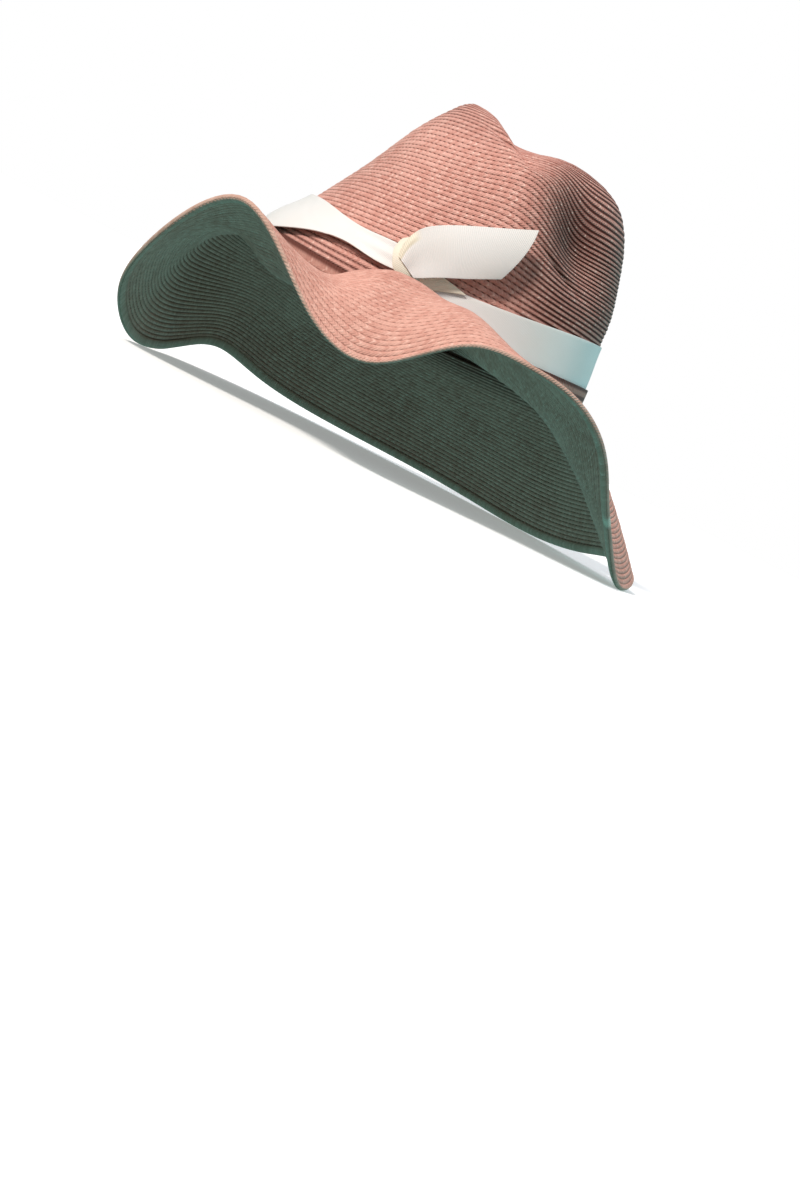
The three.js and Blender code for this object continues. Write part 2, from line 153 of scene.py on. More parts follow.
def crownPoints(turn, share):
    turn, share = np.broadcast_arrays(turn, share)
    c, s = np.cos(np.radians(turn)), np.sin(np.radians(turn))
    row = {name: at(share) for name, at in sectionAt.items()}
    level = row["frontZ"] + (row["backZ"] - row["frontZ"]) * (1 - c) / 2
    blend = smoothStep(share, 0, crown["liftBegins"])
    lift = s * s * (1 - blend) + liftAt(turn) * blend
    middle, half = (row["frontY"] + row["backY"]) / 2, (row["backY"] - row["frontY"]) / 2
    z = level + (row["sideZ"] - (row["frontZ"] + row["backZ"]) / 2) * lift
    p = np.stack([row["sideX"] * s, middle - half * c, z], -1)
    push = np.zeros(turn.shape)
    for d in crown["dents"]:
        away = turn - d["turn"] - d["slant"] * (share - d["share"])
        away = away - fullTurn * np.round(away / fullTurn)
        near = (away / d["turnSpan"]) ** 2 + ((share - d["share"]) / d["shareSpan"]) ** 2
        push += d["depth"] * np.exp(-near)
    p = p + unit(np.array(crown["dentFocus"], float) - p) * push[..., None]
    k = crown["crease"]
    behind = p[..., 1] - k["middleY"] - (k["sideY"] - k["middleY"]) * (p[..., 0] / k["sideX"]) ** 2
    across = behind / np.where(behind < 0, k["frontSpan"], k["backSpan"])
    p[..., 2] -= k["depth"] * smoothStep(p[..., 2], k["fadeLow"], k["fadeHigh"]) * np.exp(-across ** 2)
    return p


# Brim
brim = {
    "rows": 38, "segments": 288, "samples": (0, 0.16, 0.5, 0.84), "ridge": 0.5, "underRidge": 0.85,
    "flatRows": 1.7,  # the rows under the folded edge row, which are flat
    "fullness": 1.12, "halfWidth": 87, "frontY": -104, "backY": 99.2, "sideDip": 8,
    "tucked": 4.2,  # the seam at the back lies that much further in, and the rim stays
    "collarShare": 0.05,
    "swells": [  # beside the knot, the valley in front of it and the dip in the fold between them
        {"turn": 83, "way": 0.32, "turnSpan": 12, "waySpan": 0.19, "height": 6.8},
        {"turn": 62, "way": 0.36, "turnSpan": 11, "waySpan": 0.18, "height": -7.5},
        {"turn": 72, "way": 0.55, "turnSpan": 9, "waySpan": 0.3, "height": -9},
    ],
    "folds": tableOf("turn out rise leave arrive", [
        (0, 25, -82, 5, -95), (8, 30, -82.7, 6, -93), (16, 40, -81, 8, -92), (30, 67, -65.5, 12, -75),
        (45, 98, -32, 8, -50), (60, 109, 10.5, -12, 10), (75, 106.5, -17, 32, -44),
        (90, 105, -32.5, 52, -73), (100, 105, -6, 33, -48), (110, 106, 1, 2, -10),
        (120, 102, -3, -16, 4), (130, 93, -18, -28, 0), (140, 79, -40, -44, -15),
        (150, 71, -60, -54, -32), (160, 69, -77, -54, -42),
        (168, 69, -81.8, -50, -50), (180, 70, -76, -45, -50), (192, 66, -70, -40, -52),
        (206, 62, -76, -40, -60), (220, 61, -81.4, -38, -65), (231, 62, -82, -36, -66),
        (244, 64, -80.4, -35, -66), (262, 66, -79, -32, -68), (282, 65, -78, -28, -76),
        (300, 59, -73, -25, -85), (315, 48, -67, -15, -90), (330, 36, -74, -5, -95),
        (345, 27, -80, 0, -98),
    ]),
}
folds = brim["folds"]
foldAt = {c: curveThrough(folds["turn"], folds[c], fullTurn) for c in folds if c != "turn"}


def brimPoints(turn, way):
    turn, way = np.broadcast_arrays(turn, way)
    c, s = np.cos(np.radians(turn)), np.sin(np.radians(turn))
    half, middle = (brim["backY"] - brim["frontY"]) / 2, (brim["backY"] + brim["frontY"]) / 2
    root = np.stack([brim["halfWidth"] * s, middle - half * c, -brim["sideDip"] * s * s], -1)
    outward = unit(np.stack([half * s, -brim["halfWidth"] * c, 0 * c], -1))
    root = root + outward * straw["seam"]
    out = foldAt["out"](turn) - straw["seam"] + brim["tucked"] * (1 - c) / 2 * np.abs(outward[..., 1])
    fall = foldAt["rise"](turn) - root[..., 2]
    pull = brim["fullness"] * np.hypot(out, fall)
    ease = way * way * (3 - 2 * way)
    begin, end = pull * way * (1 - way) ** 2, -pull * way * way * (1 - way)
    leave, arrive = np.radians(foldAt["leave"](turn)), np.radians(foldAt["arrive"](turn))
    along = ease * out + begin * np.cos(leave) + end * np.cos(arrive)
    up = ease * fall + begin * np.sin(leave) + end * np.sin(arrive)
    for k in brim["swells"]:
        near = ((turn - k["turn"]) / k["turnSpan"]) ** 4 + ((way - k["way"]) / k["waySpan"]) ** 2
        up = up + k["height"] * np.exp(-near)
    return root + outward * along[..., None] + np.array([0, 0, 1]) * up[..., None]


def evenWays(turns, shares, steps=121):
    # ways along the brim at equal lengths of straw, so its rows are equally wide
    fine = np.linspace(0, 1, steps)
    p = brimPoints(turns[None, :], fine[:, None])
    step = np.linalg.norm(np.diff(p, axis=0), axis=2)
    length = np.vstack([np.zeros(len(turns)), np.cumsum(step, axis=0)])
    ways = [np.interp(shares * length[-1, i], length[:, i], fine) for i in range(len(turns))]
    return np.stack(ways, 1), length[-1]


def normalsOf(p):  # of a grid of points, rows first, that closes on itself round the hat
    around = np.roll(p, -1, axis=1) - np.roll(p, 1, axis=1)
    return unit(np.cross(around, np.gradient(p, axis=0)))


# Making meshes: a grid of points is rolled up until its last row meets its first
def finished(obj, name, smoothAngle=50):
    obj.name = obj.data.name = name
    bpy.ops.object.mode_set(mode="EDIT")
    bpy.ops.mesh.select_all(action="SELECT")
    bpy.ops.mesh.remove_doubles(threshold=weldDistance)
    bpy.ops.mesh.delete_loose()
    bpy.ops.mesh.select_all(action="SELECT")
    bpy.ops.mesh.normals_make_consistent(inside=False)
    bpy.ops.object.mode_set(mode="OBJECT")
    bpy.ops.object.shade_smooth_by_angle(angle=math.radians(smoothAngle))
    obj.select_set(False)
    return obj


def rolledGrid(points, uMap, vMap, closesRound, closesOn, underFrom=None):
    # points is rows x columns; uMap and vMap give each face corner's place in the weave
    p = points
    if closesRound:
        p = np.concatenate([p, p[:, :1]], axis=1)
    if closesOn:
        p = np.concatenate([p, p[:1]], axis=0)
    rows, cols = p.shape[:2]
    bpy.ops.object.select_all(action="DESELECT")
    bpy.ops.mesh.primitive_grid_add(x_subdivisions=cols - 1, y_subdivisions=rows - 1, size=2)
    obj = bpy.context.active_object
    mesh = obj.data
    flat = np.empty(len(mesh.vertices) * 3)
    mesh.vertices.foreach_get("co", flat)
    flat = flat.reshape(-1, 3)
    col = np.rint((flat[:, 0] + 1) / 2 * (cols - 1)).astype(int)
    row = np.rint((flat[:, 1] + 1) / 2 * (rows - 1)).astype(int)
    place = p[row, col] + hatOrigin
    place[:, 2] = np.maximum(place[:, 2], 0)  # the hem is pressed flat where the hat stands on it
    mesh.vertices.foreach_set("co", (place / metre).ravel())
    corner = np.empty(len(mesh.loops), int)
    mesh.loops.foreach_get("vertex_index", corner)
    quads = corner.reshape(-1, 4)
    first = row[quads].min(1)
    u = uMap(col[quads], first[:, None])
    v = vMap(row[quads], first[:, None])
    mesh.uv_layers[0].name = "weave"
    mesh.uv_layers[0].data.foreach_set("uv", np.stack([u, v], -1).ravel())
    if underFrom is not None:  # the side towards the head takes the second material
        mesh.polygons.foreach_set("material_index", (first >= underFrom).astype(np.int32))
    mesh.update()
    return obj


def rowPhases(rows, samples, backwards=False):
    phases = [r + p for r in range(rows) for p in samples] + [rows]
    return np.array(phases[::-1] if backwards else phases, float)


def ridge(phase, height):  # a braid row's rounded height over its two grooves
    return height * np.sin(np.pi * (phase % 1)) ** straw["roundness"]


def unevenness(turn, phase, seed):  # hand sewing: rows swell and wander a little, from -1 to 1
    t, r = np.radians(turn), np.floor(phase + 0.001)
    slow, quick = np.sin(3 * t + 1.7 * r + seed), np.sin(7 * t - 2.9 * r + 2 * seed)
    return (slow + quick + np.sin(13 * t + 4.3 * r)) / 3


def strawMap(base, phases, segments):
    # u counts stitches along a row, a whole number to each, and v counts rows
    rim = np.linalg.norm(np.roll(base, -1, axis=1) - base, axis=2).sum(1)
    whole = np.append(phases, phases[0])
    middles = np.floor((whole[:-1] + whole[1:]) / 2)
    stitches = np.zeros(len(middles))
    for row in np.unique(middles):
        on = middles == row
        stitches[on] = max(4, round(float(rim[on].mean()) / straw["stitch"]))

    def uMap(col, first):
        return col / segments * stitches[first]

    def vMap(row, first):
        return whole[row] + 0 * first

    return uMap, vMap


print("crown")
turns = np.arange(crown["segments"]) * fullTurn / crown["segments"]
outerPhase = rowPhases(crown["rows"], crown["outerSamples"])
innerPhase = rowPhases(crown["rows"], crown["innerSamples"], backwards=True)
astray = crown["wander"] * unevenness(turns[None, :], outerPhase[:, None] - 0.5, 1.0)
astray = astray * np.sin(np.pi * outerPhase[:, None] / crown["rows"])
outerShare = np.clip((outerPhase[:, None] + astray) / crown["rows"], crown["lowest"], 1)
outer = crownPoints(turns[None, :], outerShare)
outerNormal = normalsOf(outer)
outerNormal[-1] = (0, 0, 1)
inner = crownPoints(turns[None, :], np.maximum(innerPhase / crown["rows"], crown["lowest"])[:, None])
innerNormal = -normalsOf(inner)
innerNormal[0] = (0, 0, 1)
high = crown["ridge"] + (crown["backRidge"] - crown["ridge"]) * (1 - np.cos(np.radians(turns))) / 2
swell = 1 + straw["uneven"] * unevenness(turns[None, :], outerPhase[:, None], 2.0)
outerFace = outer + outerNormal * (ridge(outerPhase, 1)[:, None] * swell * high - high / 2)[..., None]
innerHeight = ridge(innerPhase, crown["innerRidge"]) - crown["innerRidge"] / 2
innerFace = inner - innerNormal * (straw["wall"] + innerHeight)[:, None, None]
outerFace[-1] = outerFace[-1].mean(0)
innerFace[0] = innerFace[0].mean(0)
innerFace[-1, :, 2] = outerFace[0, :, 2]
crownPhases = np.concatenate([outerPhase, innerPhase])
uMap, vMap = strawMap(np.concatenate([outer, inner]), crownPhases, crown["segments"])
crownPiece = finished(rolledGrid(
    np.concatenate([outerFace, innerFace]), uMap, vMap, True, True, len(outerPhase)), "crownBraid")

print("brim")
turns = np.arange(brim["segments"]) * fullTurn / brim["segments"]
topPhase = rowPhases(brim["rows"], brim["samples"])
underPhase = rowPhases(brim["rows"], brim["samples"], backwards=True)
ways, brimLength = evenWays(turns, topPhase / brim["rows"])
top = brimPoints(turns[None, :], ways)
topNormal = -normalsOf(top)
high = brim["ridge"]
swell = 1 + straw["uneven"] * unevenness(turns[None, :], topPhase[:, None], 3.0)
topFace = top + topNormal * (ridge(topPhase, high)[:, None] * swell - high / 2)[..., None]
under, underNormal = top[::-1], topNormal[::-1]
swell = 1 + straw["uneven"] * unevenness(turns[None, :], underPhase[:, None], 4.0)
underHeight = ridge(underPhase, brim["underRidge"])[:, None] * swell - brim["underRidge"] / 2
underHeight[underPhase > brim["rows"] - brim["flatRows"]] = 0
underFace = under - underNormal * (straw["wall"] + underHeight)[..., None]
tuck = straw["wall"] + straw["seam"]
collar = crownPoints(turns[None, :], np.array([[brim["collarShare"]], [brim["collarShare"] / 2], [0]]))
collarOut = normalsOf(collar)
collarOut[-1, :, 2] = 0
collarOut = unit(collarOut)
collarFace = collar - collarOut * tuck
collarBack = (collar - collarOut * (tuck + straw["wall"]))[::-1]
collarBack[0, :, 2] -= straw["wall"] / 2
collarPhase = np.array([-2.0, -1.5, -0.5])
brimLoop = np.concatenate([collarFace, topFace, underFace, collarBack])
brimPhases = np.concatenate([collarPhase, topPhase, underPhase, collarPhase[::-1]])
uMap, vMap = strawMap(np.concatenate([collar, top, under, collar[::-1]]), brimPhases, brim["segments"])
brimPiece = finished(rolledGrid(
    brimLoop, uMap, vMap, True, True, len(collarPhase) + len(topPhase) - 1), "brimBraid")

print("edge row")
edge = {
    "width": 5.0, "thickness": 1.05,
    # the folded row's section: how far along from its inner edge to the rim, and how deep under the brim
    "section": [(0.0, 0.02), (0.04, 0.55), (0.2, 1.0), (0.45, 1.12), (0.7, 1.05), (0.92, 0.85),
                (1.04, 0.45), (1.1, -0.25), (1.1, -0.95), (1.04, -1.55), (0.95, -1.85), (0.86, -1.7),
                (0.9, -1.0), (0.93, -0.35), (0.8, -0.06), (0.4, -0.04)],
    # the same places in the weave's rows
    "phase": (0.02, 0.1, 0.25, 0.45, 0.65, 0.8, 0.9, 1.15, 1.3, 1.5, 1.7, 1.85, 1.9, 1.95, 1.97,
              1.99, 2.02),
}
rimNormal = topNormal[-1]
rimOut = unit(top[-1] - top[-3])
edgeLoops = []
for along, deep in edge["section"]:
    share = np.minimum(1, 1 - edge["width"] / brimLength * (1 - along))
    place = [np.interp(share[i], topPhase / brim["rows"], ways[:, i]) for i in range(len(turns))]
    beyond = max(0.0, along - 1) * edge["width"]
    depth = straw["wall"] + straw["seam"] / 2 + deep * edge["thickness"]
    edgeLoops.append(brimPoints(turns, np.array(place)) + rimOut * beyond - rimNormal * depth)
rimLength = float(np.linalg.norm(np.roll(top[-1], -1, axis=0) - top[-1], axis=1).sum())
edgeStitches = round(rimLength / straw["stitch"])
edgePiece = finished(rolledGrid(
    np.stack(edgeLoops),
    lambda col, first: col / brim["segments"] * edgeStitches + 0 * first,
    lambda row, first: np.array(edge["phase"])[row] + 0 * first,
    True, True), "edgeBraid")

print("ribbon band")
ribbon = {"width": 25.5, "thickness": 0.9, "edgeRound": 0.3}
band = {
    "steps": 420, "across": 15,
    "course": tableOf("turn low high proud flare", [
        (86, -4.4, 19.9, 0.6, 0), (96, -5, 20.5, 0.6, 0), (115, -1.5, 23.5, 0.6, 0),
        (140, 3.5, 28.5, 0.6, 0), (160, 6, 31, 0.6, 0), (180, 7, 32, 0.6, 0), (215, 5, 30, 0.6, 0),
        (250, 1, 26, 0.6, 0), (270, 0, 25, 0.6, 0), (300, 2, 27, 0.6, 0.2), (335, 7, 32, 0.8, 0.6),
        (360, 6.5, 33, 1.5, 1.2), (380, 5.5, 33, 1.8, 2.0), (395, 9.5, 32, 1.6, 2.6),
        (408, 14.5, 29.5, 1.5, 3.0), (420, 16.5, 28, 1.5, 2.6), (430, 15, 28.5, 1.9, 1.6),
        (436, 15, 28, 2.3, 0.6), (442, 16, 26, 2.4, 0),
    ]),
    "foldTurn": 396, "foldSlant": 30, "foldWidth": 1.0, "foldDepth": 0.5,
    "pleatFrom": 404, "pleatFull": 434, "pleats": 2, "pleatDepth": 0.25,
}
course = band["course"]
courseAt = {c: curveThrough(course["turn"], course[c]) for c in course if c != "turn"}


def shareAtHeight(turn, z, highest=0.45, halvings=30):
    low, high = np.zeros(turn.shape), np.full(turn.shape, highest)
    for halving in range(halvings):
        middle = (low + high) / 2
        below = crownPoints(turn, middle)[..., 2] < z
        low, high = np.where(below, middle, low), np.where(below, high, middle)
    return (low + high) / 2


def crownNormals(turn, share):
    step, rise = 0.5, 0.004
    around = crownPoints(turn + step, share) - crownPoints(turn - step, share)
    up = crownPoints(turn, share + rise) - crownPoints(turn, np.maximum(0, share - rise))
    return unit(np.cross(around, up))


def lengthsAlong(points):
    return np.append(0, np.cumsum(np.linalg.norm(np.diff(points, axis=0), axis=1)))


def clothPiece(face, name, lengthwise, across, closesRound=False):
    # a sheet of ribbon from its middle surface, rows across by columns along, given its thickness
    obj = rolledGrid(
        face,
        lambda col, first: lengthwise[col] + 0 * first,
        lambda row, first: across[row] + 0 * first,
        closesRound, False)
    obj.name = name
    if closesRound:
        bpy.ops.object.mode_set(mode="EDIT")
        bpy.ops.mesh.select_all(action="SELECT")
        bpy.ops.mesh.remove_doubles(threshold=weldDistance)
        bpy.ops.object.mode_set(mode="OBJECT")
    wall = obj.modifiers.new("thickness", "SOLIDIFY")
    wall.thickness = ribbon["thickness"] / metre
    wall.offset = 0
    wall.use_even_offset = True
    rounded = obj.modifiers.new("soft edge", "BEVEL")
    rounded.width = ribbon["thickness"] * ribbon["edgeRound"] / metre
    rounded.segments = 2
    rounded.limit_method = "ANGLE"
    rounded.angle_limit = math.radians(60)
    bpy.context.view_layer.objects.active = obj
    bpy.ops.object.modifier_apply(modifier=wall.name)
    bpy.ops.object.modifier_apply(modifier=rounded.name)
    return finished(obj, name, 40)


bandTurns = np.linspace(course["turn"][0], course["turn"][-1], band["steps"])
across = np.linspace(0, 1, band["across"])[:, None]
bandHeight = courseAt["high"](bandTurns) - courseAt["low"](bandTurns)
turnGrid = bandTurns[None, :] + 0 * across
bandShare = shareAtHeight(turnGrid, courseAt["low"](bandTurns)[None, :] + bandHeight[None, :] * across)
standOff = courseAt["proud"](turnGrid) + ribbon["thickness"] / 2
standOff = standOff + courseAt["flare"](turnGrid) * (1 - across) ** 1.5
fold = (turnGrid - band["foldTurn"] - band["foldSlant"] * (0.5 - across)) / band["foldWidth"]
standOff = standOff - band["foldDepth"] * np.exp(-fold ** 2)
gather = smoothStep(turnGrid, band["pleatFrom"], band["pleatFull"])
standOff = standOff + gather * band["pleatDepth"] * (1 + np.cos(2 * math.pi * band["pleats"] * across))
bandFace = crownPoints(turnGrid, bandShare) + crownNormals(turnGrid, bandShare) * standOff[..., None]
alongBand = lengthsAlong(bandFace[band["across"] // 2])
bandPiece = clothPiece(bandFace, "ribbonBand", alongBand, across[:, 0])

print("ribbon knot")
knot = {
    "steps": 60, "across": 13, "crown": 0.45,
    # the loop's left and right edges and how far out it lies: down the outside, then back up behind
    "loop": tableOf("part leftY leftZ rightY rightZ x", [
        (0, -23.8, 32.3, -18.6, 35.8, 88.0), (1, -25.6, 28.0, -21.9, 31.2, 91.4),
        (2, -25.2, 22.9, -21.8, 26.4, 94.3), (3, -23.3, 18.4, -20.6, 22.6, 95.6),
        (4, -20.3, 14.9, -17.2, 20.2, 95.6), (5, -14.6, 14.0, -12.4, 18.3, 94.6),
        (6, -8.6, 14.4, -7.4, 17.2, 92.0), (7, -7.0, 13.6, -4.6, 16.8, 88.4),
        (8, -15.6, 17.3, -12.0, 21.1, 86.1), (9, -21.6, 25.9, -18.0, 29.2, 86.1),
    ]),
    "flatWidth": 12, "gathered": 5.3,  # the ribbon's width laid flat, and as it is drawn together
}
loopTable = knot["loop"]
loopParts = float(len(loopTable["part"]))
loopAt = {c: curveThrough(loopTable["part"], loopTable[c], loopParts) for c in loopTable if c != "part"}
part = np.linspace(0, loopParts, knot["steps"], endpoint=False)[None, :]
across = np.linspace(0, 1, knot["across"])[:, None]
outside = smoothStep(part, 0, 1.5) * (1 - smoothStep(part, 5.5, 7))
loopFace = np.stack([
    loopAt["x"](part) + knot["crown"] * outside * (4 * across * (1 - across) - 0.5),
    loopAt["leftY"](part) + (loopAt["rightY"](part) - loopAt["leftY"](part)) * across,
    loopAt["leftZ"](part) + (loopAt["rightZ"](part) - loopAt["leftZ"](part)) * across], -1)
loopMiddle = loopFace[knot["across"] // 2]
alongLoop = lengthsAlong(loopMiddle)
alongLoop = np.append(alongLoop, alongLoop[-1] + float(np.linalg.norm(loopMiddle[0] - loopMiddle[-1])))
knotPiece = clothPiece(loopFace, "ribbonKnot", alongLoop, across[:, 0], True)

print("ribbon tail")
tail = {
    "rootY": -14.2, "rootZ": 28.9, "rise": 26.5, "steps": 110, "across": 57,
    # the edges of the tail along its length and across it, and how far out it stands
    "edges": tableOf("part topAlong topAcross lowAlong lowAcross x", [
        (0, -9.8, -2.2, -1.6, -13.6, 96.0), (0.06, -6.8, 4.0, 1.4, -13.8, 96.2),
        (0.13, -2.7, 8.8, 4.6, -13.7, 96.3), (0.22, 3.0, 12.3, 8.8, -13.5, 96.2),
        (0.33, 11.0, 13.8, 14.4, -13.5, 96.6), (0.5, 25, 13.9, 22.5, -13.8, 96.6),
        (0.75, 44.5, 12.7, 33.6, -13.9, 95.4), (1, 64.0, 11.8, 44.4, -13.8, 92.8),
    ]),
    "cutBulge": 2.8, "fray": 0.22, "cup": 1.6, "sag": 0.5,
    "pleatWaves": 3, "pleatDepth": 0.3, "pleatLength": 11, "pleatStart": -6,
    "rootRoll": 1.1, "rollHeight": 0.9, "rollAt": 0.9, "rollSpan": 0.075,  # the corner rolled at the knot
    "flatSize": (27.5, 66), "shown": 27 * 53,  # the ribbon laid flat, and the area that its outline shows
}
edges = tail["edges"]
edgeAt = {c: curveThrough(edges["part"], edges[c]) for c in edges if c != "part"}
part = np.linspace(0, 1, tail["steps"])[None, :] ** 1.15
across = np.linspace(0, 1, tail["across"])[:, None]
reach = edgeAt["lowAlong"](part) + (edgeAt["topAlong"](part) - edgeAt["lowAlong"](part)) * across
rise = edgeAt["lowAcross"](part) + (edgeAt["topAcross"](part) - edgeAt["lowAcross"](part)) * across
reach = reach + tail["cutBulge"] * 4 * across * (1 - across) * part ** 6
frayed = tail["fray"] * np.where(np.arange(tail["across"])[:, None] % 2, 1, -1)
reach = reach + np.where(part >= 1, frayed, 0)  # the cut end only
outward = edgeAt["x"](part) - tail["cup"] * (2 * across - 1) ** 2 * smoothStep(part, 0.1, 0.5)
pleat = tail["pleatDepth"] * np.cos(tail["pleatWaves"] * math.pi * across)
outward = outward + pleat * np.exp(-np.maximum(reach - tail["pleatStart"], 0) / tail["pleatLength"])
outward = outward - tail["rootRoll"] * smoothStep(across, 0.72, 1) * (1 - smoothStep(part, 0.08, 0.22))
rolledEdge = tail["rollHeight"] * np.exp(-((across - tail["rollAt"]) / tail["rollSpan"]) ** 2)
outward = outward + rolledEdge * (1 - smoothStep(part, 0.1, 0.2))
outward = outward + tail["sag"] * np.sin(2.2 * math.pi * part + 1.5 * across)
c, s = math.cos(math.radians(tail["rise"])), math.sin(math.radians(tail["rise"]))
tailFace = np.stack([
    outward, tail["rootY"] + c * reach - s * rise, tail["rootZ"] + s * reach + c * rise], -1)
alongTail = lengthsAlong(tailFace[tail["across"] // 2])
tailPiece = clothPiece(tailFace, "ribbonTail", alongTail, across[:, 0])

print("ribbon end under the knot")
shortEnd = {
    "steps": 26, "across": 15,
    "edges": tableOf("part topY topZ lowY lowZ x", [
        (0, -16.0, 22.5, -13.0, 14.0, 90.5), (0.35, -6.4, 23.6, -7.0, 13.8, 90.8),
        (0.7, 5.0, 23.4, -1.0, 14.2, 90.0), (1, 18.9, 20.8, 4.0, 15.8, 87.9),
    ]),
    "bow": 0.5, "flatSize": (14, 31), "shown": 10 * 27,
}
edges = shortEnd["edges"]
edgeAt = {c: curveThrough(edges["part"], edges[c]) for c in edges if c != "part"}
part = np.linspace(0, 1, shortEnd["steps"])[None, :]
across = np.linspace(0, 1, shortEnd["across"])[:, None]
shortFace = np.stack([
    edgeAt["x"](part) + shortEnd["bow"] * np.sin(math.pi * across),
    edgeAt["lowY"](part) + (edgeAt["topY"](part) - edgeAt["lowY"](part)) * across,
    edgeAt["lowZ"](part) + (edgeAt["topZ"](part) - edgeAt["lowZ"](part)) * across], -1)
alongShort = lengthsAlong(shortFace[shortEnd["across"] // 2])
shortPiece = clothPiece(shortFace, "ribbonShortEnd", alongShort, across[:, 0])

print("materials")


def nodesOf(name):
    material = bpy.data.materials.new(name)
    material.use_nodes = True
    tree = material.node_tree
    return material, tree, tree.nodes["Principled BSDF"]


def feed(tree, socket, value):
    if isinstance(value, (int, float)):
        socket.default_value = value
    elif isinstance(value, tuple):
        socket.default_value = (*value, 1)
    elif value is not None:
        tree.links.new(value, socket)


def mathNode(tree, operation, *values):
    node = tree.nodes.new("ShaderNodeMath")
    node.operation = operation
    for socket, value in zip(node.inputs, values):
        feed(tree, socket, value)
    return node.outputs[0]


def ramp(tree, value, low, high, toLow=0.0, toHigh=1.0):
    node = tree.nodes.new("ShaderNodeMapRange")
    node.interpolation_type = "SMOOTHSTEP"
    for name, number in (("From Min", low), ("From Max", high), ("To Min", toLow), ("To Max", toHigh)):
        node.inputs[name].default_value = number
    tree.links.new(value, node.inputs["Value"])
    return node.outputs["Result"]


def mixColour(tree, factor, a, b):
    node = tree.nodes.new("ShaderNodeMix")
    node.data_type = "RGBA"
    for index, value in ((0, factor), (6, a), (7, b)):
        feed(tree, node.inputs[index], value)
    return node.outputs[2]


def times(tree, a, b):
    return mathNode(tree, "MULTIPLY", a, b)


def combine(tree, x, y, z=0.0):
    node = tree.nodes.new("ShaderNodeCombineXYZ")
    for socket, value in zip(node.inputs, (x, y, z)):
        feed(tree, socket, value)
    return node.outputs[0]


def noise(tree, vector, scale, detail=3.0):
    node = tree.nodes.new("ShaderNodeTexNoise")
    node.inputs["Scale"].default_value = scale
    node.inputs["Detail"].default_value = detail
    tree.links.new(vector, node.inputs["Vector"])
    return node.outputs[0]


def weavePlace(tree):
    uv = tree.nodes.new("ShaderNodeUVMap")
    uv.uv_map = "weave"
    split = tree.nodes.new("ShaderNodeSeparateXYZ")
    tree.links.new(uv.outputs[0], split.inputs[0])
    return split.outputs[0], split.outputs[1]


def bumped(tree, shader, height, strength, distance):
    bump = tree.nodes.new("ShaderNodeBump")
    bump.inputs["Strength"].default_value = strength
    bump.inputs["Distance"].default_value = distance
    tree.links.new(height, bump.inputs["Height"])
    tree.links.new(bump.outputs[0], shader.inputs["Normal"])


def spot(tree, coords, at, inside, outside, most):  # a soft round spot about a place on the hat, in metres
    away = tree.nodes.new("ShaderNodeVectorMath")
    away.operation = "DISTANCE"
    tree.links.new(coords, away.inputs[0])
    away.inputs[1].default_value = at
    return ramp(tree, away.outputs["Value"], inside, outside, most, 0.0)


plainStraw = {
    "grooveWidth": 0.3, "grooveDark": 0.9, "betweenDashes": 0.22,  # grooves show as staggered dashes: the braid's dark joints, partly painted shade
    "glints": 0.5, "glintColour": (0.90, 0.66, 0.56), "luckyFrom": 0.88,  # the few strands that shine
    "wearScale": 26.0, "wearMost": 0.35, "fibreAlong": 1.4, "fibreAcross": 9.0, "fibreScale": 3.0,
    # the rows by the seam darken, partly soiling and partly painted shade; on the crown, its back and peak
    # take painted shade too
    "footRows": 9.0, "footDark": 0.2, "aged": 0.3, "agedBack": False,
    "roughness": 0.62, "glintPolish": 0.3, "gloss": 0.15, "bumpStrength": 0.7, "bumpDepth": 0.0005,
    "frayedAt": None, "frayedColour": (0.80, 0.72, 0.60),
}
# where the crown takes painted shade: its back and peak, and a painted shadow in the hollow; the seam's
# darkening is weaker at the front
agedCrown = {  # heights and distances in metres
    "lean": 0.25, "backFrom": 0.04, "backFull": 0.082, "peakFrom": 0.172, "peakFull": 0.2, "peakMost": 0.55,
    "hollowAt": (0.038, 0.042, 0.163), "hollowInside": 0.004, "hollowOutside": 0.032, "hollowMost": 0.6,
    "frontFrom": -0.02, "frontFull": 0.06, "frontLeast": 0.25,
}


